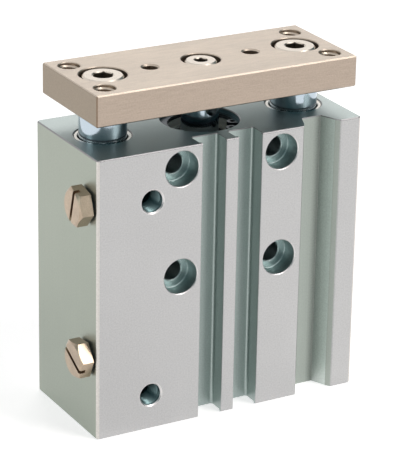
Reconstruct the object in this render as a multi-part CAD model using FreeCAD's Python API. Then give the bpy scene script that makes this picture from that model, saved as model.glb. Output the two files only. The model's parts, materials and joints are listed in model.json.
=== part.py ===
"""Guided pneumatic cylinder, 25 mm bore and 50 mm stroke, as an assembly of separate pieces.

An extruded aluminium block holds a double-acting cylinder between two guide rods. The piston rod and
both guide rods carry a tool plate, which rises by the stroke. Millimetres, +Z along the stroke. The
origin is the centre of the block's bottom face, and the side with the ports and the slots faces -Y.
"""
import FreeCAD
import Part
import math
import os

V = FreeCAD.Vector
UP = V(0, 0, 1)

# ---- Travel and cylinder ----
stroke = 50.0
bore_diameter = 25.0
piston_rod_diameter = 12.0
guide_rod_diameter = 15.0
guide_pitch = 68.0              # between the two guide rod axes

# ---- Lengths that stack up inside the bore, from the bottom face to the top face ----
circlip_inset = 1.5             # end face to the outer side of a retaining ring
circlip_thickness = 1.2
head_cover_length = 8.0
bumper_height = 1.5
bumper_gap = 0.05               # between the piston and a bumper at each end of the travel
piston_length = 12.0
rod_cover_length = 13.5

# ---- Block ----
body_width = 93.0
body_depth = 42.0
body_corner_radius = 1.2
body_end_chamfer = 0.3          # round the outline at both ends
slot_wall = 1.5                 # from the cylinder bore to the floor of the slots
edge_radius = 0.3               # where the slots meet the front face

# Two undercut sensor slots, one each side of a thin rib on the centre line
rib_width = 4.4
sensor_slot_opening = 8.3
sensor_slot_undercut = 0.6      # how far the slot is wider than its opening, on each side
sensor_slot_lip = 1.3
slot_floor_radius = 0.9
lip_radius = 0.25               # the inner edge of each lip

# One wide slot with sloping walls, in front of the right guide rod
wide_slot_centre_x = 32.2
wide_slot_opening = 13.9
wide_slot_floor_width = 7.0
wide_slot_bevel_width = 1.3     # the steeper first part of each wall, next to the front face
wide_slot_bevel_depth = 1.9

# ---- Holes in the block ----
mount_column_pitch = 35.2
mount_row_pitch = 35.3
mount_row_inset = 7.1           # top face to the upper row
mount_hole_diameter = 6.6       # passes M6, and is the minor diameter of the M8 thread at the back
counterbore_diameter = 11.5
counterbore_depth = 6.0
counterbore_floor_chamfer = 0.3  # at the mounting hole, and the tool's corner at the wall
base_hole_diameter = 5.0
base_hole_depth = 12.0
base_hole_pitch_x = 42.0
base_hole_pitch_y = 28.0
back_dowel_diameter = 4.0
back_dowel_depth = 4.5
thread_chamfer = 0.5            # countersink at the mouth of tapped holes
mouth_chamfer = 0.25            # edge break at the mouth of plain holes
bore_mouth_chamfer = 0.3

port_diameter = 6.9             # M8x1 tapped
port_wall = 1.45                # between a port and the guide bore behind it
port_column_inset = 18.8        # left side face to the front ports
upper_port_inset = 16.0         # top face to the upper ports
lower_front_port_inset = 11.5   # bottom face to the lower front port
lower_side_port_inset = 25.8    # bottom face to the lower side port
side_port_depth = 11.0
gallery_diameter = 3.0
drill_point_angle = 118.0

# ---- Guide bushes and wipers ----
guide_bush_wall = 1.5
guide_bush_length = 16.0
guide_bush_gap = 8.0            # between the two bushes on a rod
guide_bush_chamfer = 0.4
wiper_height = 3.0
wiper_retainer_height = 3.0
wiper_retainer_lip = 0.35       # radial gap from the retainer to the rod
wiper_retainer_chamfer = 0.2
running_clearance = 0.03        # radial, rod to bush
rod_passage_clearance = 0.7     # radial, rod to the block below the bushes
guide_rod_recess = 2.0          # rod end above the bottom face at rest

# ---- Covers, seals and piston ----
cover_clearance = 0.02          # radial, cover to bore
cover_nose_diameter = 18.0      # leaves an air ring beside the bumper
rod_cover_nose_length = 2.8
head_cover_nose_length = 2.0
rod_cover_dish_diameter = 19.6
rod_cover_dish_depth = 2.0
head_cover_dish_diameter = 15.0
head_cover_dish_depth = 2.5
rod_bush_wall = 1.2
rod_bush_length = 6.0
rod_seal_width = 2.6
rod_seal_height = 4.5
rod_seal_lip_width = 0.7
rod_seal_edge = 0.4             # rounding of the lips where they meet the rod and the cover
rod_seal_hollow_depth = 1.6
rod_seal_wiping_height = 0.5
rod_hole_clearance = 0.15
o_ring_section = 1.56
o_ring_groove_width = 2.2
rod_cover_groove_inset = 2.2    # the nose's shoulder to the O-ring groove
bumper_rod_clearance = 0.6
bumper_groove_width = 1.6
piston_clearance = 0.2
piston_seal_height = 3.4
piston_seal_width = 2.3
piston_seal_clearance = 0.04
piston_magnet_height = 3.2
piston_magnet_width = 2.4
piston_land = 1.5
piston_spigot_diameter = 8.0
piston_rivet_diameter = 10.5
piston_rivet_height = 2.0
circlip_groove_depth = 0.7
circlip_play = 0.05
circlip_back_width = 2.9        # opposite its gap
circlip_tip_width = 1.9         # beside its gap
circlip_lug_radius = 1.75
circlip_lug_hole = 1.7
circlip_lug_inset = 0.3         # a lug's rim to the cylinder bore
circlip_gap_angle = 13.0
rod_circlip_gap_direction = -32.0
head_circlip_gap_direction = -90.0

# ---- Tool plate and its screws ----
plate_width = 91.0
plate_depth = 37.0
plate_thickness = 10.0
plate_gap = 9.4                 # block to plate at rest
plate_edge_chamfer = 0.4
plate_hole_pitch_x = 79.0
plate_hole_pitch_y = 24.0
plate_hole_diameter = 6.8       # M8 tapped
plate_hole_countersink = 0.25
plate_dowel_pitch = 35.6
plate_dowel_diameter = 5.0
plate_dowel_countersink = 0.5
guide_screw = dict(thread=8.0, head=13.0, head_height=5.0, socket=6.0, socket_depth=3.2,
                   reach=18.0, counterbore=15.0, sink=0.2)
rod_screw = dict(thread=6.0, head=10.0, head_height=4.2, socket=4.0, socket_depth=2.6,
                 reach=16.0, counterbore=12.4, sink=0.2)
screw_clearance = 0.25          # radial, screw to the plate
screw_head_chamfer = 0.5
screw_tip_chamfer = 0.6
screw_socket_lead_in = 0.3      # cone at the mouth of the socket
tapped_hole_extra = 3.0         # how far a tapped hole runs on past the screw
rod_end_chamfer = 1.0
spanner_hole_diameter = 4.6     # across the piston rod, just under the plate
spanner_hole_drop = 4.6         # plate underside to the hole's centre
spanner_hole_turn = 10.0        # degrees that the rod stopped short of square

# ---- Port plugs ----
plug_across_flats = 11.0
plug_head_height = 4.3
plug_head_bevel = 32.0          # degrees, the turned corner of the hexagon
plug_face_diameter = 10.2       # of the flat inside that turned corner
plug_slot_width = 1.3
plug_slot_depth = 2.0
plug_thread_length = 7.0
plug_thread_undercut = 0.5      # neck under the head, and the chamfer at the tip
plug_washer_clearance = 0.05
plug_washer_thickness = 0.7
plug_washer_diameter = 10.2
upper_plug_turn = 12.2          # a corner of the hexagon, degrees from the level towards the top
lower_plug_turn = 54.2
upper_slot_turn = 105.0         # the screwdriver slot, measured the same way
lower_slot_turn = 27.3
ball_diameter = 3.5
ball_depth = 3.2

# ---- Sizes that follow from those above ----
bore_r = bore_diameter / 2
rod_r = piston_rod_diameter / 2
guide_rod_r = guide_rod_diameter / 2
guide_bore_r = guide_rod_r + guide_bush_wall
guide_x = guide_pitch / 2
front_y = -body_depth / 2
back_y = body_depth / 2
slot_floor_y = -(bore_r + slot_wall)

# Heights, going up the stack
head_cover_z = circlip_inset + circlip_thickness
head_bumper_z = head_cover_z + head_cover_length
piston_z = head_bumper_z + bumper_height + bumper_gap
piston_top_z = piston_z + piston_length
rod_bumper_z = piston_top_z + stroke + bumper_gap
rod_cover_z = rod_bumper_z + bumper_height
rod_cover_top_z = rod_cover_z + rod_cover_length
body_height = rod_cover_top_z + circlip_thickness + circlip_inset
plate_z = body_height + plate_gap
plate_top_z = plate_z + plate_thickness

wiper_z = body_height - wiper_retainer_height - wiper_height
upper_bush_z = wiper_z - guide_bush_length
lower_bush_z = upper_bush_z - guide_bush_gap - guide_bush_length

port_r = port_diameter / 2
port_x = -body_width / 2 + port_column_inset
side_port_y = -(guide_bore_r + port_wall + port_r)
front_port_depth = body_depth / 2 - guide_bore_r - port_wall
upper_port_z = body_height - upper_port_inset
side_ports = {"upper": (upper_port_z, upper_plug_turn, upper_slot_turn),
              "lower": (lower_side_port_inset, lower_plug_turn, lower_slot_turn)}
mount_rows = [body_height - mount_row_inset, body_height - mount_row_inset - mount_row_pitch]
mount_columns = [-mount_column_pitch / 2, mount_column_pitch / 2]
cover_r = bore_r - cover_clearance
cover_nose_r = cover_nose_diameter / 2
o_ring_groove_r = bore_r - o_ring_section
seal_seat_r = rod_r + rod_seal_width
piston_r = bore_r - piston_clearance


# ---- Shape helpers ----
def rod(radius, z0, z1, x=0.0, y=0.0):
    return Part.makeCylinder(radius, z1 - z0, V(x, y, z0), UP)


def tube(outer, inner, z0, z1, x=0.0, y=0.0):
    return rod(outer, z0, z1, x, y).cut(rod(inner, z0, z1, x, y))


def turned(points, x=0.0, y=0.0):
    """A solid of revolution about a vertical axis, from (radius, height) points."""
    wire = Part.makePolygon([V(r, 0, z) for r, z in points + points[:1]])
    solid = Part.Face(wire).revolve(V(0, 0, 0), UP, 360)
    solid.translate(V(x, y, 0))
    return solid


def hole(radius, mouth, direction, depth, chamfer=0.0, pointed=False):
    """The space of a drilled hole that starts at its mouth and runs along direction."""
    outside = 1.0
    start = mouth - direction * outside
    space = Part.makeCylinder(radius, depth + outside, start, direction)
    if chamfer:
        wide = radius + chamfer
        space = space.fuse(Part.makeCone(wide + outside, radius, wide + outside - radius, start, direction))
    if pointed:
        point = radius / math.tan(math.radians(drill_point_angle / 2))
        space = space.fuse(Part.makeCone(radius, 0, point, mouth + direction * depth, direction))
    return space


def rounded_outline(corners, z=0.0):
    """A closed wire through (x, y, radius) corners, each rounded by its own radius."""
    count = len(corners)
    runs = []
    for i, (x, y, radius) in enumerate(corners):
        here = V(x, y, z)
        before = V(*corners[i - 1][:2], z)
        after = V(*corners[(i + 1) % count][:2], z)
        to_before = (before - here).normalize()
        to_after = (after - here).normalize()
        half_angle = to_before.getAngle(to_after) / 2
        setback = radius / math.tan(half_angle)
        first = here + to_before * setback
        last = here + to_after * setback
        inward = (to_before + to_after).normalize()
        middle = here + inward * (radius / math.sin(half_angle) - radius)
        runs.append((first, middle, last, radius))
    edges = []
    for i, (first, middle, last, radius) in enumerate(runs):
        if radius:
            edges.append(Part.Arc(first, middle, last).toShape())
        edges.append(Part.LineSegment(last, runs[(i + 1) % count][0]).toShape())
    return Part.Wire(edges)


def hexagon(across_flats, z0, z1):
    corner_r = across_flats / math.sqrt(3)
    corners = [V(corner_r * math.cos(math.radians(a)), corner_r * math.sin(math.radians(a)), z0)
               for a in range(0, 420, 60)]
    return Part.Face(Part.makePolygon(corners)).extrude(UP * (z1 - z0))


# ---- Block ----
def sensor_slot_corners(side):
    """Outline of one undercut slot, from its outer edge to the rib, for side -1 or 1."""
    inner = rib_width / 2
    outer = inner + sensor_slot_opening
    lip_y = front_y + sensor_slot_lip
    corners = [(outer, front_y, edge_radius),
               (outer, lip_y, lip_radius),
               (outer + sensor_slot_undercut, lip_y, 0),
               (outer + sensor_slot_undercut, slot_floor_y, slot_floor_radius),
               (inner - sensor_slot_undercut, slot_floor_y, slot_floor_radius),
               (inner - sensor_slot_undercut, lip_y, 0),
               (inner, lip_y, lip_radius),
               (inner, front_y, edge_radius)]
    placed = [(side * x, y, r) for x, y, r in corners]
    return placed if side < 0 else placed[::-1]


def wide_slot_corners():
    half = wide_slot_opening / 2
    wall = [(-half, front_y, edge_radius),
            (-half + wide_slot_bevel_width, front_y + wide_slot_bevel_depth, 0),
            (-wide_slot_floor_width / 2, slot_floor_y, edge_radius)]
    other = [(-x, y, r) for x, y, r in reversed(wall)]
    return [(wide_slot_centre_x + x, y, r) for x, y, r in wall + other]


def outer_corners():
    half = body_width / 2
    return [(-half, back_y, body_corner_radius), (-half, front_y, body_corner_radius),
            (half, front_y, body_corner_radius), (half, back_y, body_corner_radius)]


def block_prism():
    """The extruded profile, with its outer outline chamfered at both ends."""
    outer = outer_corners()
    slots = sensor_slot_corners(-1) + sensor_slot_corners(1) + wide_slot_corners()
    profile = rounded_outline(outer[:2] + slots + outer[2:])
    envelope = Part.Face(rounded_outline(outer)).extrude(UP * body_height)
    rims = [edge for edge in envelope.Edges if edge.BoundBox.ZLength < body_end_chamfer]
    envelope = envelope.makeChamfer(body_end_chamfer, rims)
    return Part.Face(profile).extrude(UP * body_height).common(envelope)


def cylinder_bore_space():
    groove_r = bore_r + circlip_groove_depth
    mouth = bore_r + bore_mouth_chamfer
    low, high = circlip_inset, body_height - circlip_inset
    over = 1.0
    return turned([(0, -over), (mouth, -over), (mouth, 0), (bore_r, bore_mouth_chamfer),
                   (bore_r, low), (groove_r, low), (groove_r, low + circlip_thickness),
                   (bore_r, low + circlip_thickness), (bore_r, high - circlip_thickness),
                   (groove_r, high - circlip_thickness), (groove_r, high), (bore_r, high),
                   (bore_r, body_height - bore_mouth_chamfer), (mouth, body_height),
                   (mouth, body_height + over), (0, body_height + over)])


def guide_bore_space(x):
    passage_r = guide_rod_r + rod_passage_clearance
    mouth = guide_bore_r + bore_mouth_chamfer
    over = 1.0
    return turned([(0, -over), (passage_r + bore_mouth_chamfer, -over), (passage_r + bore_mouth_chamfer, 0),
                   (passage_r, bore_mouth_chamfer), (passage_r, lower_bush_z),
                   (guide_bore_r, lower_bush_z), (guide_bore_r, body_height - bore_mouth_chamfer),
                   (mouth, body_height), (mouth, body_height + over), (0, body_height + over)], x)


def counterbore_space(mouth, direction):
    """Counterbore with a small cone at its wall, and a countersink where the bolt hole leaves it."""
    wide, narrow, bevel = counterbore_diameter / 2, mount_hole_diameter / 2, counterbore_floor_chamfer
    floor = mouth + direction * counterbore_depth
    straight = hole(wide, mouth, direction, counterbore_depth - bevel, mouth_chamfer)
    corner = Part.makeCone(wide, wide - bevel, bevel, floor - direction * bevel, direction)
    countersink = Part.makeCone(narrow + bevel, narrow, bevel, floor, direction)
    return straight.fuse([corner, countersink])


def mounting_hole_spaces():
    """Four bolt holes through the block, counterbored at the front and tapped from the back."""
    spaces = []
    for x in mount_columns:
        for z in mount_rows:
            spaces.append(counterbore_space(V(x, front_y, z), V(0, 1, 0)))
            spaces.append(hole(mount_hole_diameter / 2, V(x, back_y, z), V(0, -1, 0),
                               body_depth, thread_chamfer))
    return spaces


def back_dowel_spaces():
    z = sum(mount_rows) / 2
    return [hole(back_dowel_diameter / 2, V(x, back_y, z), V(0, -1, 0), back_dowel_depth, mouth_chamfer)
            for x in mount_columns]


def base_hole_spaces():
    return [hole(base_hole_diameter / 2, V(sx * base_hole_pitch_x / 2, sy * base_hole_pitch_y / 2, 0), UP,
                 base_hole_depth, thread_chamfer, pointed=True)
            for sx in (-1, 1) for sy in (-1, 1)]


def port_spaces():
    """Front and side ports of both chambers, and the drillings that join them to the bore."""
    gallery_r = gallery_diameter / 2
    spaces = []
    for z in (upper_port_z, lower_front_port_inset):
        spaces.append(hole(port_r, V(port_x, front_y, z), V(0, 1, 0), front_port_depth, thread_chamfer))
        inner_end = V(port_x, front_y + front_port_depth - gallery_r, z)
        to_bore = (V(0, 0, z) - inner_end)
        spaces.append(Part.makeCylinder(gallery_r, to_bore.Length - bore_r / 2, inner_end, to_bore))
    for z, _, _ in side_ports.values():
        mouth = V(-body_width / 2, side_port_y, z)
        spaces.append(hole(port_r, mouth, V(1, 0, 0), side_port_depth, thread_chamfer))
        spaces.append(Part.makeCylinder(gallery_r, port_column_inset, mouth, V(1, 0, 0)))
    riser = V(port_x, side_port_y, 0)
    spaces.append(hole(gallery_r, riser, UP, lower_side_port_inset, mouth_chamfer))
    spaces.append(hole(ball_diameter / 2, riser, UP, ball_depth + ball_diameter / 2, mouth_chamfer))
    return spaces


def cylinder_body():
    spaces = [cylinder_bore_space(), guide_bore_space(-guide_x), guide_bore_space(guide_x)]
    spaces += mounting_hole_spaces() + back_dowel_spaces() + base_hole_spaces() + port_spaces()
    return block_prism().cut(spaces)


# ---- Covers, bumpers and retaining rings ----
def o_ring_groove(z):
    return tube(bore_r + 1, o_ring_groove_r, z, z + o_ring_groove_width)


def o_ring(groove_z):
    """O-ring squeezed between the bore and its groove, so its section has flats where it touches."""
    section_r = o_ring_section / 2
    centre_r = bore_r - section_r
    centre_z = groove_z + o_ring_groove_width / 2
    corner_r = section_r / math.cos(math.pi / 8)
    angles = [math.radians(a) for a in (22.5, 67.5, 112.5, 157.5, 202.5, 247.5, 292.5, 337.5)]
    return turned([(centre_r + corner_r * math.cos(a), centre_z + corner_r * math.sin(a)) for a in angles])


rod_cover_groove_z = rod_cover_z + rod_cover_nose_length + rod_cover_groove_inset
head_cover_groove_z = head_cover_z + (head_cover_length - head_cover_nose_length - o_ring_groove_width) / 2
rod_seal_z = rod_cover_top_z - rod_cover_dish_depth - rod_seal_height


def rod_cover():
    shoulder_z = rod_cover_z + rod_cover_nose_length
    dish_z = rod_cover_top_z - rod_cover_dish_depth
    bush_r = rod_r + rod_bush_wall
    cover = rod(cover_nose_r, rod_cover_z, shoulder_z).fuse(rod(cover_r, shoulder_z, rod_cover_top_z))
    return cover.cut([rod(rod_cover_dish_diameter / 2, dish_z, rod_cover_top_z + 1),
                      rod(seal_seat_r, rod_seal_z, rod_cover_top_z),
                      rod(rod_r + rod_hole_clearance, rod_cover_z - 1, rod_cover_top_z),
                      rod(bush_r, rod_cover_z - 1, rod_cover_z + rod_bush_length),
                      o_ring_groove(rod_cover_groove_z)])


def rod_cover_bush():
    return tube(rod_r + rod_bush_wall, rod_r + running_clearance, rod_cover_z, rod_cover_z + rod_bush_length)


def rod_seal():
    """Lip seal round the piston rod, with a hollow between its lips and a wiping edge on top."""
    inner, outer = rod_r + running_clearance, seal_seat_r
    lip, low = rod_seal_lip_width, rod_seal_z
    top = low + rod_seal_height
    shoulder = top - rod_seal_wiping_height
    return turned([(inner, low + rod_seal_edge), (inner + lip, low),
                   ((inner + outer) / 2, low + rod_seal_hollow_depth), (outer - lip, low),
                   (outer, low + rod_seal_edge), (outer, shoulder), (inner + 2 * rod_seal_edge, shoulder),
                   (inner + rod_seal_edge, top), (inner, shoulder)])


def head_cover():
    shoulder_z = head_bumper_z - head_cover_nose_length
    cover = rod(cover_r, head_cover_z, shoulder_z).fuse(rod(cover_nose_r, shoulder_z, head_bumper_z))
    return cover.cut([rod(head_cover_dish_diameter / 2, head_cover_z - 1, head_cover_z + head_cover_dish_depth),
                      o_ring_groove(head_cover_groove_z)])


def bumper(z):
    """Urethane ring on a cover's nose, with four grooves that let air past."""
    ring = tube(cover_nose_r, rod_r + bumper_rod_clearance, z, z + bumper_height)
    groove = Part.makeBox(2 * cover_nose_r + 2, bumper_groove_width, bumper_height / 2,
                          V(-cover_nose_r - 1, -bumper_groove_width / 2, z))
    away_from_nose = V(0, 0, bumper_height / 2) if z < piston_z else V(0, 0, 0)
    groove.translate(away_from_nose)
    crossing = groove.copy()
    crossing.rotate(V(0, 0, 0), UP, 90)
    return ring.cut([groove, crossing])


def circlip(z, gap_direction):
    """Internal retaining ring with two pierced lugs beside its gap, thickest opposite the gap."""
    outer_r = bore_r + circlip_groove_depth - circlip_play
    inner_r = outer_r - (circlip_back_width + circlip_tip_width) / 2
    shift = (circlip_back_width - circlip_tip_width) / 2
    lug_at = bore_r - circlip_lug_radius - circlip_lug_inset
    half_gap = math.radians(circlip_gap_angle / 2)
    lug_angle = half_gap + math.asin(circlip_lug_radius / lug_at)
    top = z + circlip_thickness
    reach_x, reach_y = 2 * outer_r * math.cos(half_gap), 2 * outer_r * math.sin(half_gap)
    gap = Part.makePolygon([V(0, 0, z), V(reach_x, -reach_y, z), V(reach_x, reach_y, z), V(0, 0, z)])
    wedge = Part.Face(gap).extrude(UP * circlip_thickness)
    ring = rod(outer_r, z, top).cut(rod(inner_r, z, top, shift))
    lug_places = [(lug_at * math.cos(lug_angle), s * lug_at * math.sin(lug_angle)) for s in (-1, 1)]
    lugs = [rod(circlip_lug_radius, z, top, x, y) for x, y in lug_places]
    eyes = [rod(circlip_lug_hole / 2, z, top, x, y) for x, y in lug_places]
    clip = ring.fuse(lugs).cut([wedge] + eyes).removeSplitter()
    clip.rotate(V(0, 0, 0), UP, gap_direction)
    return clip


# ---- Guides ----
def guide_bush(x, z):
    chamfer = guide_bush_chamfer
    outer, inner = guide_bore_r, guide_rod_r + running_clearance
    top = z + guide_bush_length
    return turned([(inner, z + chamfer), (inner + chamfer, z), (outer, z), (outer, top),
                   (inner + chamfer, top), (inner, top - chamfer)], x)


def guide_wiper(x):
    return tube(guide_bore_r, guide_rod_r + running_clearance, wiper_z, wiper_z + wiper_height, x)


def wiper_retainer(x):
    """Thin pressed ring, flush with the top face, that keeps the wiper down."""
    low = wiper_z + wiper_height
    inner = guide_rod_r + wiper_retainer_lip
    high = body_height - bore_mouth_chamfer
    chamfer = wiper_retainer_chamfer
    return turned([(inner, low), (guide_bore_r, low), (guide_bore_r, high - chamfer),
                   (guide_bore_r - chamfer, high), (inner + chamfer, high), (inner, high - chamfer)], x)


# ---- Moving carriage ----
def screw_space_in_rod(screw, x=0.0):
    depth = screw["reach"] + tapped_hole_extra
    return hole(screw["thread"] / 2, V(x, 0, plate_z), V(0, 0, -1), depth, thread_chamfer, pointed=True)


def guide_rod(x):
    low = guide_rod_recess
    chamfer = rod_end_chamfer
    body = turned([(0, low), (guide_rod_r - chamfer, low), (guide_rod_r, low + chamfer),
                   (guide_rod_r, plate_z - chamfer / 2), (guide_rod_r - chamfer / 2, plate_z), (0, plate_z)], x)
    return body.cut(screw_space_in_rod(guide_screw, x))


def piston_rod():
    """Rod with a spigot that is riveted over under the piston, and a spanner hole at the top."""
    spigot_r = piston_spigot_diameter / 2
    rivet_r = piston_rivet_diameter / 2
    rivet_top = piston_z + piston_rivet_height
    chamfer = rod_end_chamfer / 2
    body = turned([(0, piston_z), (rivet_r, piston_z), (rivet_r, rivet_top), (spigot_r, rivet_top),
                   (spigot_r, piston_top_z), (rod_r, piston_top_z), (rod_r, plate_z - chamfer),
                   (rod_r - chamfer, plate_z), (0, plate_z)])
    spanner_hole = Part.makeCylinder(spanner_hole_diameter / 2, 2 * rod_r + 2,
                                     V(0, -rod_r - 1, plate_z - spanner_hole_drop), V(0, 1, 0))
    spanner_hole.rotate(V(0, 0, 0), UP, spanner_hole_turn)
    return body.cut([screw_space_in_rod(rod_screw), spanner_hole])


def piston():
    magnet_z = piston_z + piston_land
    seal_z = piston_top_z - piston_land - piston_seal_height
    spigot_r = piston_spigot_diameter / 2
    over = 1.0
    return rod(piston_r, piston_z, piston_top_z).cut([
        rod(spigot_r, piston_z, piston_top_z),
        rod(piston_rivet_diameter / 2, piston_z - over, piston_z + piston_rivet_height),
        tube(piston_r + over, piston_r - piston_magnet_width, magnet_z, magnet_z + piston_magnet_height),
        tube(piston_r + over, piston_r - piston_seal_width, seal_z, seal_z + piston_seal_height)])


def piston_magnet():
    z = piston_z + piston_land
    return tube(piston_r - running_clearance, piston_r - piston_magnet_width, z, z + piston_magnet_height)


def piston_seal():
    """Double-lipped ring that touches the bore at both edges of its groove."""
    z = piston_top_z - piston_land - piston_seal_height
    top = z + piston_seal_height
    inner = piston_r - piston_seal_width
    outer = bore_r - piston_seal_clearance
    waist = piston_r - piston_seal_width / 3
    edge = piston_seal_height / 5
    return turned([(inner, z), (waist, z), (outer, z + edge), (waist, z + piston_seal_height / 2),
                   (outer, top - edge), (waist, top), (inner, top)])


def tool_plate():
    half_x, half_y = plate_width / 2, plate_depth / 2
    plate = Part.makeBox(plate_width, plate_depth, plate_thickness, V(-half_x, -half_y, plate_z))
    plate = plate.makeChamfer(plate_edge_chamfer, plate.Edges)
    top = V(0, 0, plate_top_z)
    down = V(0, 0, -1)
    through = plate_thickness + 1
    spaces = []
    for sx in (-1, 1):
        for sy in (-1, 1):
            mouth = top + V(sx * plate_hole_pitch_x / 2, sy * plate_hole_pitch_y / 2, 0)
            spaces.append(hole(plate_hole_diameter / 2, mouth, down, through, plate_hole_countersink))
        mouth = top + V(sx * plate_dowel_pitch / 2, 0, 0)
        spaces.append(hole(plate_dowel_diameter / 2, mouth, down, through, plate_dowel_countersink))
    for x, screw in ((-guide_x, guide_screw), (0, rod_screw), (guide_x, guide_screw)):
        head_seat = screw["sink"] + screw["head_height"]
        spaces.append(hole(screw["counterbore"] / 2, top + V(x, 0, 0), down, head_seat, mouth_chamfer))
        spaces.append(hole(screw["thread"] / 2 + screw_clearance, top + V(x, 0, 0), down, through))
    return plate.cut(spaces)


def socket_screw(screw, x=0.0):
    """Low-head cap screw with a hexagon socket, its head just below the top of the plate."""
    head_top = plate_top_z - screw["sink"]
    seat = head_top - screw["head_height"]
    tip = plate_z - screw["reach"]
    head_r, thread_r = screw["head"] / 2, screw["thread"] / 2
    edge, point, cone = screw_head_chamfer, screw_tip_chamfer, screw_socket_lead_in
    shape = turned([(0, tip), (thread_r - point, tip), (thread_r, tip + point), (thread_r, seat), (head_r, seat),
                    (head_r, head_top - edge), (head_r - edge, head_top), (0, head_top)])
    socket = hexagon(screw["socket"], head_top - screw["socket_depth"], head_top + 1)
    corner_r = screw["socket"] / math.sqrt(3)
    lead_in = Part.makeCone(corner_r - cone, corner_r + cone, 2 * cone, V(0, 0, head_top - cone), UP)
    shape = shape.cut([socket, lead_in])
    shape.translate(V(x, 0, 0))
    return shape


# ---- Port plugs ----
def port_plug(z, turn, slot_turn):
    """Slotted hexagon plug, made along +Z and then laid along -X at its side port.

    Its turns are negative because +Y points down once it is laid there.
    """
    corner_r = plug_across_flats / math.sqrt(3)
    low, high = plug_washer_thickness, plug_washer_thickness + plug_head_height
    flat_r = plug_face_diameter / 2
    bevel_height = (corner_r - flat_r) * math.tan(math.radians(plug_head_bevel))
    dome = rod(corner_r + 1, low, high - bevel_height).fuse(
        Part.makeCone(corner_r, flat_r, bevel_height, V(0, 0, high - bevel_height), UP))
    head = hexagon(plug_across_flats, low, high).common(dome)
    head.rotate(V(0, 0, 0), UP, -turn)
    slot = Part.makeBox(4 * corner_r, plug_slot_width, plug_slot_depth + 1,
                        V(-2 * corner_r, -plug_slot_width / 2, high - plug_slot_depth))
    slot.rotate(V(0, 0, 0), UP, -slot_turn)
    neck_r = port_r - plug_thread_undercut
    tip = -plug_thread_length
    shank = turned([(0, tip), (neck_r, tip), (port_r, tip + plug_thread_undercut),
                    (port_r, -thread_chamfer), (neck_r, -thread_chamfer), (neck_r, low), (0, low)])
    plug = head.cut(slot).fuse(shank).removeSplitter()
    return lay_at_side_port(plug, z)


def plug_washer(z):
    inner = port_r - plug_thread_undercut + plug_washer_clearance
    return lay_at_side_port(tube(plug_washer_diameter / 2, inner, 0, plug_washer_thickness), z)


def lay_at_side_port(shape, z):
    """Turns +Z to -X, +X to +Y and +Y to -Z, and moves the origin to that port's mouth."""
    shape.Placement = FreeCAD.Placement(FreeCAD.Matrix(0, 0, -1, -body_width / 2,
                                                       1, 0, 0, side_port_y,
                                                       0, -1, 0, z,
                                                       0, 0, 0, 1)).multiply(shape.Placement)
    return shape


def gallery_ball():
    return Part.makeSphere(ball_diameter / 2, V(port_x, side_port_y, ball_depth))


# ---- Assembly ----
def pieces():
    found = {
        "cylinder_body": cylinder_body(),
        "rod_cover": rod_cover(),
        "rod_cover_bush": rod_cover_bush(),
        "rod_seal": rod_seal(),
        "rod_cover_o_ring": o_ring(rod_cover_groove_z),
        "rod_cover_circlip": circlip(rod_cover_top_z, rod_circlip_gap_direction),
        "rod_end_bumper": bumper(rod_bumper_z),
        "head_cover": head_cover(),
        "head_cover_o_ring": o_ring(head_cover_groove_z),
        "head_cover_circlip": circlip(circlip_inset, head_circlip_gap_direction),
        "head_end_bumper": bumper(head_bumper_z),
        "gallery_ball": gallery_ball(),
        "tool_plate": tool_plate(),
        "piston_rod": piston_rod(),
        "piston_rod_screw": socket_screw(rod_screw),
        "piston": piston(),
        "piston_seal": piston_seal(),
        "piston_magnet": piston_magnet(),
    }
    for side, x in (("left", -guide_x), ("right", guide_x)):
        found["guide_bush_upper_" + side] = guide_bush(x, upper_bush_z)
        found["guide_bush_lower_" + side] = guide_bush(x, lower_bush_z)
        found["guide_wiper_" + side] = guide_wiper(x)
        found["wiper_retainer_" + side] = wiper_retainer(x)
        found["guide_rod_" + side] = guide_rod(x)
        found["guide_rod_screw_" + side] = socket_screw(guide_screw, x)
    for level, (z, turn, slot_turn) in side_ports.items():
        found["port_plug_" + level] = port_plug(z, turn, slot_turn)
        found["plug_washer_" + level] = plug_washer(z)
    return found


os.makedirs("parts", exist_ok=True)
for name, shape in pieces().items():
    print(f"{name}: {len(shape.Solids)} solid, valid {shape.isValid()}, {shape.Volume:.1f} mm3")
    shape.exportStep(f"parts/{name}.step")
print(f"block {body_width} x {body_depth} x {body_height:.2f}, plate {plate_z:.2f} to {plate_top_z:.2f}")
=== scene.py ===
"""Studio view of the guided pneumatic cylinder: materials, detail pieces, light and camera.

Metres, in the CAD model's own frame: +Z is the stroke, -Y the front with the ports and slots, and the
origin is the centre of the block's bottom face.
"""
import json
import math

import bmesh
import bpy
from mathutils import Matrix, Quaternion, Vector


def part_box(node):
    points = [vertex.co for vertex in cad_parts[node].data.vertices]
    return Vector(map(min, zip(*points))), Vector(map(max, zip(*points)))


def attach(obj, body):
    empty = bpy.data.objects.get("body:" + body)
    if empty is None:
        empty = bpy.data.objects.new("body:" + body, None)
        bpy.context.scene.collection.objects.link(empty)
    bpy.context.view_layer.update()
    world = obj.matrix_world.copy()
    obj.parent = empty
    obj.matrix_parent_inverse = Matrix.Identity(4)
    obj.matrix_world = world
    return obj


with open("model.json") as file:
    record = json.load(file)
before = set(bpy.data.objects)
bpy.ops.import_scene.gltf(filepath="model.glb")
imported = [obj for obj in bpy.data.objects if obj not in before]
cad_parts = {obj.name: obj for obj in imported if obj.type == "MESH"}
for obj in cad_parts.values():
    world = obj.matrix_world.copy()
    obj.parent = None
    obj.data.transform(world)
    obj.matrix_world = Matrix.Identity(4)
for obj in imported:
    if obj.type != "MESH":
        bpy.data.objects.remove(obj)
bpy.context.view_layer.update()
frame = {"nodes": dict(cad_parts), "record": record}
nodes = frame["nodes"]
mounts = {mount["name"]: mount for mount in frame["record"]["mounts"]}
MM = 0.001

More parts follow.
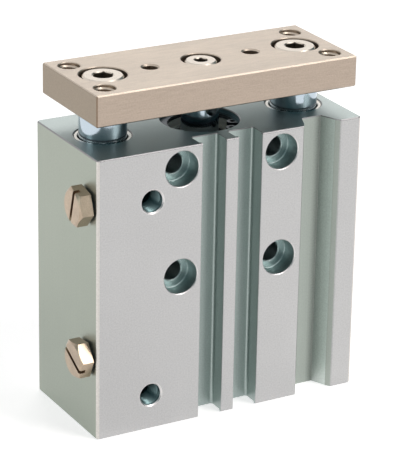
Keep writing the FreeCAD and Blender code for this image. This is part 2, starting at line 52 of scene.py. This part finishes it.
# ---- Places, read from the frame ----
block_low, block_high = (Vector(corner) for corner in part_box("cylinder_body"))
plate_low, plate_high = (Vector(corner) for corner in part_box("tool_plate"))
guide_low, guide_high = (Vector(corner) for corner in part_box("guide_rod_right"))
screw_high = Vector(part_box("guide_rod_screw_right")[1])
front_y = block_low.y
guide_x = (guide_low.x + guide_high.x) / 2
front_ports = ("rod_side_port", "head_side_port")

# ---- Places on the block that the frame doesn't give ----
counterbore_reach = 6.0 * MM        # each reach is a little more than the radius that it takes in
through_hole_reach = 3.5 * MM
port_reach = 3.6 * MM
port_rim_reach = 4.08 * MM
bore_reach = 13.6 * MM
wide_slot_x = 32.2 * MM
wide_slot_opening = 13.9 * MM
wide_slot_corner_x = 35.7 * MM      # where its floor meets its outer wall
edge_width = 0.4 * MM               # how far a hole's or the top's edge reaches in
skin = 0.1 * MM                     # what is this near to a flat face belongs to it


def bolt_places(name):
    """The centres of a four-bolt pattern, on the face that it is drilled in, and its inward direction."""
    mount = mounts[name]
    centre, outward = Vector(mount["pos_m"]), Vector(mount["axis"])
    across = Vector((mount["dims"]["spacing_x_mm"] / 2 * MM, 0, 0))
    second = mount["dims"]["spacing_y_mm"] / 2 * MM
    along = Vector((0, 0, second)) if outward.y else Vector((0, second, 0))
    return [centre + i * across + j * along for i in (-1, 1) for j in (-1, 1)], -outward


# ---- Materials ----
class Finish:
    """A surface finish built up in layers of pattern, each between 0 and 1. Coordinates are in metres."""

    def __init__(self, name, colour, roughness, metallic=1.0):
        self.material = bpy.data.materials.new(name)
        self.material.use_nodes = True
        self.tree = self.material.node_tree
        self.tree.nodes.clear()
        self.colour = colour
        self.metallic = metallic
        self.tone = 1.0
        self.roughness = roughness
        self.height = 0.0
        self.place = self.add("ShaderNodeTexCoord").outputs["Object"]
        self.x, self.y, self.z = self.add("ShaderNodeSeparateXYZ", self.place).outputs
        normal = self.add("ShaderNodeNewGeometry").outputs["True Normal"]
        self.normal_parts = self.add("ShaderNodeSeparateXYZ", normal).outputs

    def add(self, kind, *inputs, **settings):
        """A new node. Each input is an output socket to join or a number to set."""
        node = self.tree.nodes.new(kind)
        for key, value in settings.items():
            setattr(node, key, value)
        for socket, value in zip(node.inputs, inputs):
            self.feed(socket, value)
        return node

    def feed(self, socket, value):
        if isinstance(value, bpy.types.NodeSocket):
            self.tree.links.new(value, socket)
        else:
            socket.default_value = value

    def math(self, operation, *values):
        return self.add("ShaderNodeMath", *values, operation=operation).outputs[0]

    def noise(self, size, detail=2.0, stretch=(1, 1, 1)):
        """Noise with features about size long, and longer by the stretch along each axis."""
        mapping = self.add("ShaderNodeMapping", self.place)
        mapping.inputs["Scale"].default_value = [1 / factor for factor in stretch]
        texture = self.add("ShaderNodeTexNoise", mapping.outputs["Vector"])
        texture.inputs["Scale"].default_value = 1 / size
        texture.inputs["Detail"].default_value = detail
        return texture.outputs["Fac"]

    def absolute(self, value):
        return self.math("ABSOLUTE", value)

    def apart(self, coordinate, place):
        return self.absolute(self.math("SUBTRACT", coordinate, place))

    def radius(self, first, second):
        squares = [self.math("MULTIPLY", value, value) for value in (first, second)]
        return self.math("SQRT", self.math("ADD", *squares))

    def from_nearest(self, points):
        """The distance to the nearest of some axes that run from front to back."""
        nearest = 1.0
        for point in points:
            aside = self.math("SUBTRACT", self.x, point.x)
            up = self.math("SUBTRACT", self.z, point.z)
            nearest = self.math("MINIMUM", nearest, self.radius(aside, up))
        return nearest

    def above(self, value, limit):
        return self.math("GREATER_THAN", value, limit)

    def below(self, value, limit):
        return self.math("LESS_THAN", value, limit)

    def both(self, first, second):
        return self.math("MULTIPLY", first, second)

    def either(self, first, second):
        return self.math("MAXIMUM", first, second)

    def outside(self, mask):
        return self.math("SUBTRACT", 1.0, mask)

    def rings(self, radius, pitch):
        """Turning marks along a radius."""
        wave = self.math("SINE", self.math("MULTIPLY", radius, math.tau / pitch))
        return self.math("MULTIPLY_ADD", wave, 0.5, 0.5)

    def facing(self, axis):
        """1 where the surface faces along an axis, either way, and 0 elsewhere."""
        return self.above(self.absolute(self.normal_parts["XYZ".index(axis)]), 0.9)

    def rounding(self, slant, beyond):
        """1 on the rounded upright corners that lie farther than this from the middle, and 0 elsewhere."""
        slanted = self.above(self.absolute(self.math("MULTIPLY", *self.normal_parts[:2])), slant)
        return self.both(slanted, self.above(self.absolute(self.x), beyond))

    def layer(self, pattern, tone=0.0, roughness=0.0, height=0.0, where=None):
        """Adds a pattern by the spread of tone and roughness, and the height in metres, that it makes."""
        centred = self.math("SUBTRACT", pattern, 0.5)
        if where is not None:
            centred = self.both(centred, where)
        self.tone = self.math("MULTIPLY_ADD", centred, tone, self.tone)
        self.roughness = self.math("MULTIPLY_ADD", centred, roughness, self.roughness)
        self.height = self.math("MULTIPLY_ADD", centred, height, self.height)

    def recolour(self, colour, where):
        """Another base colour where the mask is 1."""
        mix = self.add("ShaderNodeMix", data_type="VECTOR")
        self.feed(mix.inputs["Factor"], where)
        self.feed(mix.inputs[4], self.colour)
        self.feed(mix.inputs[5], colour)
        self.colour = mix.outputs[1]

    def done(self):
        surface = self.add("ShaderNodeBsdfPrincipled")
        surface.inputs["Metallic"].default_value = self.metallic
        colour = self.add("ShaderNodeVectorMath", operation="SCALE")
        self.feed(colour.inputs["Vector"], self.colour)
        self.feed(colour.inputs["Scale"], self.tone)
        self.feed(surface.inputs["Base Color"], colour.outputs["Vector"])
        self.feed(surface.inputs["Roughness"], self.roughness)
        bump = self.add("ShaderNodeBump")
        bump.inputs["Distance"].default_value = 1.0
        self.feed(bump.inputs["Height"], self.height)
        self.feed(surface.inputs["Normal"], bump.outputs["Normal"])
        out = self.add("ShaderNodeOutputMaterial")
        self.feed(out.inputs["Surface"], surface.outputs["BSDF"])
        return self.material


def linear(red, green, blue):
    """Linear colour from display values between 0 and 255."""
    def channel(value):
        share = value / 255
        return share / 12.92 if share <= 0.04045 else ((share + 0.055) / 1.055) ** 2.4
    return (channel(red), channel(green), channel(blue))


def anodised_block():
    """Blasted and clear-anodised extrusion, with drawn slots, milled ends and turned holes, and painted
    light and shade.

    Each colour is what such a face shows in studio light, so most of them are painted. There is painted
    shade in the slots, holes, ports and bore, on the end faces, on the outer sides and along the top edge.
    There are painted highlights on the rims of the front holes and ports, on the rounded upright corners
    and on the wide slot's walls. The masks go from wide to narrow, and a later one covers the earlier ones.
    """
    finish = Finish("anodised_block", linear(195, 194, 194), 0.42)
    finish.layer(finish.noise(0.5 * MM, 3), tone=0.5, roughness=0.4, height=0.015 * MM)
    finish.layer(finish.noise(14 * MM, 3), tone=0.10, roughness=0.05)
    at_hole = finish.from_nearest(bolt_places("front_bolts")[0])
    at_port = finish.from_nearest([Vector(mounts[port]["pos_m"]) for port in front_ports])
    past_front = finish.above(finish.y, front_y + edge_width)
    inside = finish.both(past_front, finish.below(finish.y, -front_y - skin))
    on_end = finish.facing("Z")
    upright = finish.outside(on_end)
    outer_side = finish.above(finish.absolute(finish.x), block_high.x - skin)
    front_half = finish.below(finish.y, 0)
    in_opening = finish.below(finish.apart(finish.x, wide_slot_x), wide_slot_opening / 2)
    wide_slot = finish.both(finish.both(inside, upright), finish.both(front_half, in_opening))
    in_hole = finish.both(inside, finish.below(at_hole, counterbore_reach))
    in_bore = finish.below(finish.radius(finish.x, finish.y), bore_reach)
    painted_top_edge_shade = finish.both(upright, finish.above(finish.z, block_high.z - edge_width))
    # the rims round the front holes and ports get a painted highlight
    rim = finish.either(finish.below(at_hole, counterbore_reach), finish.below(at_port, port_rim_reach))
    # painted shade: the teal tint that shaded recesses show, on the slots and holes behind the front
    finish.recolour(linear(180, 191, 188), inside)
    # painted shade on the end faces, where the top lies under the plate
    finish.recolour(linear(172, 181, 179), on_end)
    # painted shade on the outer sides
    finish.recolour(linear(167, 173, 162), outer_side)
    # painted shade on the wide slot's floor, and a painted highlight on its walls that face along X
    finish.recolour(linear(155, 161, 155), wide_slot)
    finish.recolour(linear(196, 203, 199), finish.both(wide_slot, finish.facing("X")))
    # painted shade in the counterbores, through holes, ports and bore
    finish.recolour(linear(178, 194, 193), in_hole)
    finish.recolour(linear(188, 200, 200), finish.both(inside, finish.below(at_hole, through_hole_reach)))
    finish.recolour(linear(108, 130, 132), finish.both(inside, finish.below(at_port, port_reach)))
    finish.recolour(linear(120, 150, 155), finish.both(in_bore, upright))
    # painted highlight on the rims of the front holes and ports
    finish.recolour(linear(230, 226, 225), finish.both(rim, finish.outside(past_front)))
    # painted shade along the top edge, which dims its highlight
    finish.recolour(linear(150, 149, 150), painted_top_edge_shade)
    # painted highlight on the rounded upright corners
    finish.recolour(linear(218, 213, 208), finish.rounding(0.32, block_high.x - 1.3 * MM))
    # painted shade: the wide slot darkens towards the corner where its floor meets its outer wall
    shade_width = 2.5 * MM
    to_corner = finish.math("DIVIDE", finish.apart(finish.x, wide_slot_corner_x), shade_width)
    finish.layer(finish.math("MINIMUM", to_corner, 1.0), tone=0.5, where=wide_slot)
    turned = finish.both(in_hole, finish.facing("Y"))
    finish.layer(finish.rings(at_hole, 0.5 * MM), tone=0.20, height=0.012 * MM, where=turned)
    drawn = finish.both(finish.both(inside, upright), finish.outside(in_hole))
    drawn_lines = finish.noise(0.3 * MM, 2, (1, 1, 300))
    finish.layer(drawn_lines, tone=0.16, roughness=0.10, height=0.010 * MM, where=drawn)
    milled_lines = finish.noise(0.25 * MM, 2, (60, 1, 1))
    finish.layer(milled_lines, tone=0.08, roughness=0.08, height=0.003 * MM, where=on_end)
    return finish.done()


def nickel_plate():
    """Ground steel plate with a satin nickel coat, its grain along the plate, and painted shade."""
    finish = Finish("nickel_plate", linear(188, 175, 161), 0.36)
    finish.layer(finish.noise(0.5 * MM, 3), tone=0.45, roughness=0.3, height=0.010 * MM)
    finish.layer(finish.noise(0.22 * MM, 2, (25, 3, 1.5)), tone=0.30, height=0.004 * MM)
    finish.layer(finish.noise(6 * MM, 4, (4, 1, 1)), tone=0.16, roughness=0.10)
    # painted shade on the underside
    finish.recolour(linear(128, 140, 140), finish.below(finish.z, plate_low.z + skin))
    # painted shade on the front and back faces
    finish.recolour(linear(182, 166, 152), finish.facing("Y"))
    # painted shade on the sides
    finish.recolour(linear(150, 137, 121), finish.above(finish.absolute(finish.x), plate_high.x - skin))
    # painted dark reflection on the rounded corners
    finish.recolour(linear(142, 124, 107), finish.rounding(0.2, plate_high.x - 1.0 * MM))
    return finish.done()


def ground_chrome():
    """Hard chrome on ground rod, with the fine lines that run round it."""
    finish = Finish("ground_chrome", linear(190, 203, 213), 0.13)
    finish.layer(finish.noise(0.12 * MM, 2, (60, 60, 1)), tone=0.05, roughness=0.06, height=0.0006 * MM)
    finish.layer(finish.noise(5 * MM, 3), tone=0.06, roughness=0.05)
    return finish.done()


def turned_metal(name, colour, roughness, centre_x=0.0, metallic=1.0, painted_shade_below=None):
    """Metal with turning marks on its end faces, round x = 0 and, if given, round two mirrored axes.

    A socket's depth can get painted shade: what lies below a height keeps only a part of the colour.
    """
    painted_shade_share = 0.35
    pitch, groove = 0.4 * MM, 0.006 * MM
    finish = Finish(name, colour, roughness, metallic)
    # painted shade in a socket's depth
    if painted_shade_below:
        finish.recolour([channel * painted_shade_share for channel in colour], finish.below(finish.z, painted_shade_below))
    from_axis = finish.absolute(finish.x)
    if centre_x:
        from_axis = finish.math("MINIMUM", from_axis, finish.apart(from_axis, centre_x))
    marks = finish.rings(finish.radius(from_axis, finish.y), pitch)
    finish.layer(marks, tone=0.12, height=groove, where=finish.facing("Z"))
    finish.layer(finish.noise(0.3 * MM, 3), tone=0.14, roughness=0.14, height=0.003 * MM)
    finish.layer(finish.noise(3 * MM, 2), tone=0.12, roughness=0.08)
    return finish.done()


def grained(name, colour, roughness, metallic, grain=0.4 * MM, depth=0.006 * MM, tone=0.16):
    """A surface with a fine grain and slow changes of tone: cast, moulded, drawn or woven."""
    finish = Finish(name, colour, roughness, metallic)
    finish.layer(finish.noise(grain, 3), tone=tone, roughness=0.14, height=depth)
    finish.layer(finish.noise(10 * grain, 2), tone=tone, roughness=0.06)
    return finish.done()


materials = {
    "body_aluminium": anodised_block(),
    "plate_nickel": nickel_plate(),
    "rod_chrome": ground_chrome(),
    "screw_nickel": turned_metal("nickel_screw", linear(214, 204, 192), 0.30, guide_x,
                                 painted_shade_below=screw_high.z - 0.6 * MM),
    "plug_nickel": grained("nickel_plug", linear(182, 164, 144), 0.33, 1.0, tone=0.5),
    # the cover's pale colour is painted light, standing in for the lit patches beside the rod
    "cover_aluminium": turned_metal("cover_aluminium", linear(238, 234, 222), 0.5, metallic=0.1),
    "piston_aluminium": turned_metal("piston_aluminium", linear(196, 196, 192), 0.35),
    "ring_steel": grained("spring_steel", linear(84, 88, 92), 0.35, 1.0),
    "retainer_steel": grained("stainless_ring", linear(222, 218, 210), 0.26, 1.0),
    "bush_bronze": turned_metal("bearing_bronze", linear(190, 150, 96), 0.3, guide_x),
    "seal_rubber": grained("nitrile_rubber", linear(34, 34, 36), 0.55, 0.0),
    "bumper_urethane": grained("urethane", linear(130, 108, 70), 0.4, 0.0),
    "wiper_felt": grained("oiled_felt", linear(90, 88, 82), 0.95, 0.0, grain=0.25 * MM, depth=0.05 * MM),
    "washer_fibre": grained("washer_fibre", linear(40, 44, 46), 0.6, 0.0),
    "magnet_ferrite": grained("bonded_magnet", linear(70, 70, 70), 0.5, 0.0),
    "ball_steel": grained("ball_steel", linear(190, 192, 194), 0.15, 1.0, depth=0.001 * MM, tone=0.05),
}
slot_of = {part["node"]: part["material_slot"] for part in frame["record"]["subparts"]}
for name, obj in nodes.items():
    obj.data.materials.clear()
    obj.data.materials.append(materials[slot_of[name]])


def placed(name, data):
    """A new object in the scene."""
    obj = bpy.data.objects.new(name, data)
    bpy.context.scene.collection.objects.link(obj)
    return obj


# ---- Threads ----
thread_ridge = 0.45 * MM
thread_root = 0.03 * MM        # how far a ridge's foot sits in the wall
foot_share = 0.42              # half of a ridge's foot, of the pitch
segments = 40                  # of one turn
run_out_steps = segments / 4


def thread(name, mouth, inward, radius, depth, pitch, body, slot):
    """The crest of a tapped hole's thread: a helical ridge on its wall, running out at both ends."""
    across = inward.orthogonal().normalized()
    up = inward.cross(across)
    steps = round(depth / pitch * segments)
    half_foot = foot_share * pitch
    mesh = bmesh.new()
    rows = []
    for step in range(steps + 1):
        turn = math.tau * step / segments
        radial = across * math.cos(turn) + up * math.sin(turn)
        run_out = min(1, step / run_out_steps, (steps - step) / run_out_steps)
        along = pitch * step / segments
        section = [(radius + thread_root, along - half_foot), (radius - thread_ridge * run_out, along),
                   (radius + thread_root, along + half_foot)]
        rows.append([mesh.verts.new(mouth + radial * out + inward * place) for out, place in section])
    for row, following in zip(rows, rows[1:]):
        for i in range(3):
            mesh.faces.new((row[i], following[i], following[i - 2], row[i - 2]))
    mesh.faces.new(rows[0])
    mesh.faces.new(reversed(rows[-1]))
    bmesh.ops.recalc_face_normals(mesh, faces=mesh.faces)
    data = bpy.data.meshes.new(name)
    mesh.to_mesh(data)
    mesh.free()
    data.materials.append(materials[slot])
    piece = placed(name, data)
    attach(piece, body)


def tapped_pattern(name, depth, pitch, inset, body, slot):
    """The threads of a four-bolt pattern, which start a little way in from the mouths of their holes."""
    places, inward = bolt_places(name)
    radius = mounts[name]["dims"]["hole_r_mm"] * MM
    for number, place in enumerate(places, 1):
        start = place + inward * inset
        thread(f"{name}_thread_{number}", start, inward, radius, depth, pitch, body, slot)


short_pitch = 1.0 * MM         # of the base's M6 and of the ports
long_pitch = 1.25 * MM         # of the M8 in the plate and the back
for port in front_ports:
    radius = mounts[port]["dims"]["r_mm"] * MM
    middle = Vector(mounts[port]["pos_m"])
    start = Vector((middle.x, front_y + 1.0 * MM, middle.z))
    thread(port + "_thread", start, Vector((0, 1, 0)), radius, 7.0 * MM, short_pitch,
           "block", "body_aluminium")
tapped_pattern("plate_bolts", 8.0 * MM, long_pitch, 0.9 * MM, "carriage", "plate_nickel")
tapped_pattern("back_bolts", 14.0 * MM, long_pitch, 1.2 * MM, "block", "body_aluminium")
tapped_pattern("base_bolts", 10.0 * MM, short_pitch, 1.2 * MM, "block", "body_aluminium")


# ---- Studio ----
room = (0.008, 0.070, 0.086)       # what the metal shows above the floor, on the camera's side
backdrop = (1.0, 1.0, 1.0)
backdrop_centre = (0.0, 0.8, 0.6)   # it stands behind the object and leans over it
world_share = 0.3                   # how much of the world's strength lights the object
floor_glow = 0.66                   # what the floor shows of itself to the camera and in metal
floor_gap = 0.05 * MM               # the floor is this far under the block, so that no face lies in it


def seen_rays(tree):
    """1 for rays from the camera, from metal and through glass, and 0 for those that light a surface."""
    rays = tree.nodes.new("ShaderNodeLightPath").outputs
    seen = rays["Is Camera Ray"]
    for kind in ("Is Glossy Ray", "Is Transmission Ray"):
        either = tree.nodes.new("ShaderNodeMath")
        either.operation = "MAXIMUM"
        tree.links.new(seen, either.inputs[0])
        tree.links.new(rays[kind], either.inputs[1])
        seen = either.outputs["Value"]
    return seen


def studio_world():
    """White behind the object, overhead and below, and a dim room on the camera's side.

    The object's metal shows them, and the camera itself sees white all round.
    """
    world = bpy.data.worlds.new("studio")
    bpy.context.scene.world = world
    world.use_nodes = True
    tree = world.node_tree
    tree.nodes.clear()

    def node(kind):
        return tree.nodes.new("ShaderNode" + kind)

    direction = node("TexCoord").outputs["Generated"]
    towards = node("VectorMath")
    towards.operation = "DOT_PRODUCT"
    towards.inputs[1].default_value = backdrop_centre
    tree.links.new(direction, towards.inputs[0])
    upright = node("SeparateXYZ")
    tree.links.new(direction, upright.inputs["Vector"])
    steepness = node("Math")
    steepness.operation = "ABSOLUTE"
    tree.links.new(upright.outputs["Z"], steepness.inputs[0])
    nearer = node("Math")
    nearer.operation = "MAXIMUM"
    tree.links.new(towards.outputs["Value"], nearer.inputs[0])
    tree.links.new(steepness.outputs["Value"], nearer.inputs[1])
    shift = node("MapRange")
    shift.inputs["From Min"].default_value = -1
    tree.links.new(nearer.outputs["Value"], shift.inputs["Value"])
    ramp = node("ValToRGB")
    ramp.color_ramp.interpolation = "EASE"
    first, last = ramp.color_ramp.elements
    first.position, first.color = 0.70, (*room, 1)
    last.position, last.color = 0.93, (*backdrop, 1)
    tree.links.new(shift.outputs["Result"], ramp.inputs["Fac"])
    strength = node("MapRange")
    strength.inputs["To Min"].default_value = world_share
    tree.links.new(seen_rays(tree), strength.inputs["Value"])
    around, white = node("Background"), node("Background")
    mix, out = node("MixShader"), node("OutputWorld")
    white.inputs["Color"].default_value = (*backdrop, 1)
    tree.links.new(ramp.outputs["Color"], around.inputs["Color"])
    tree.links.new(strength.outputs["Result"], around.inputs["Strength"])
    tree.links.new(node("LightPath").outputs["Is Camera Ray"], mix.inputs["Fac"])
    tree.links.new(around.outputs["Background"], mix.inputs[1])
    tree.links.new(white.outputs["Background"], mix.inputs[2])
    tree.links.new(mix.outputs["Shader"], out.inputs["Surface"])


def studio_floor():
    """A pale floor, which is clear from below so that the underside can be looked at."""
    half = 6.0
    z = block_low.z - floor_gap
    corners = [(x * half, y * half, z) for x, y in ((-1, -1), (1, -1), (1, 1), (-1, 1))]
    mesh = bpy.data.meshes.new("studio_floor")
    mesh.from_pydata(corners, [], [(0, 1, 2, 3)])
    floor = placed("studio_floor", mesh)
    material = bpy.data.materials.new("pale_floor")
    material.use_nodes = True
    tree = material.node_tree
    surface = tree.nodes["Principled BSDF"]
    surface.inputs["Base Color"].default_value = (0.8, 0.8, 0.8, 1)
    surface.inputs["Roughness"].default_value = 0.9
    glow = tree.nodes.new("ShaderNodeMath")
    glow.operation = "MULTIPLY"
    glow.inputs[1].default_value = floor_glow
    tree.links.new(seen_rays(tree), glow.inputs[0])
    surface.inputs["Emission Color"].default_value = (1, 1, 1, 1)
    tree.links.new(glow.outputs["Value"], surface.inputs["Emission Strength"])
    sides = tree.nodes.new("ShaderNodeMixShader")
    tree.links.new(tree.nodes.new("ShaderNodeNewGeometry").outputs["Backfacing"], sides.inputs["Fac"])
    tree.links.new(surface.outputs["BSDF"], sides.inputs[1])
    tree.links.new(tree.nodes.new("ShaderNodeBsdfTransparent").outputs["BSDF"], sides.inputs[2])
    tree.links.new(sides.outputs["Shader"], tree.nodes["Material Output"].inputs["Surface"])
    mesh.materials.append(material)


def sun(name, towards, irradiance, colour, angle):
    """A broad, far lamp, so that the floor is evenly lit and its shadows stay soft."""
    data = bpy.data.lights.new(name, "SUN")
    data.energy = irradiance
    data.color = colour
    data.angle = math.radians(angle)
    lamp = placed(name, data)
    lamp.rotation_mode = "QUATERNION"
    lamp.rotation_quaternion = Vector(towards).to_track_quat("-Z", "Y")


studio_world()
studio_floor()
sun("key", (-0.60, 0.75, -0.92), 1.2, (1.0, 0.95, 0.92), 25)
sun("rim", (-0.35, -0.60, -0.75), 0.5, (1.0, 0.98, 0.96), 30)
sun("fill", (0.97, -0.05, -0.20), 0.30, (0.9, 1.0, 1.0), 30)
sun("low", (-0.46, 0.90, -0.10), 0.14, (1.0, 0.98, 0.95), 15)


# ---- Camera ----
camera_position = (-0.35724, -0.63093, 0.34213)
camera_azimuth = math.radians(29.70)
camera_elevation = math.radians(21.67)
camera_roll = math.radians(1.10)
camera = placed("camera", bpy.data.cameras.new("camera"))
camera.data.sensor_width = 36.0
camera.data.lens = 190.86
camera.data.clip_start = 0.05
camera.data.clip_end = 50
camera.location = camera_position
forward = Vector((math.sin(camera_azimuth) * math.cos(camera_elevation),
                  math.cos(camera_azimuth) * math.cos(camera_elevation), -math.sin(camera_elevation)))
camera.rotation_mode = "QUATERNION"
camera.rotation_quaternion = forward.to_track_quat("-Z", "Y") @ Quaternion((0, 0, 1), camera_roll)
bpy.context.scene.camera = camera
bpy.context.scene.view_settings.view_transform = "Standard"
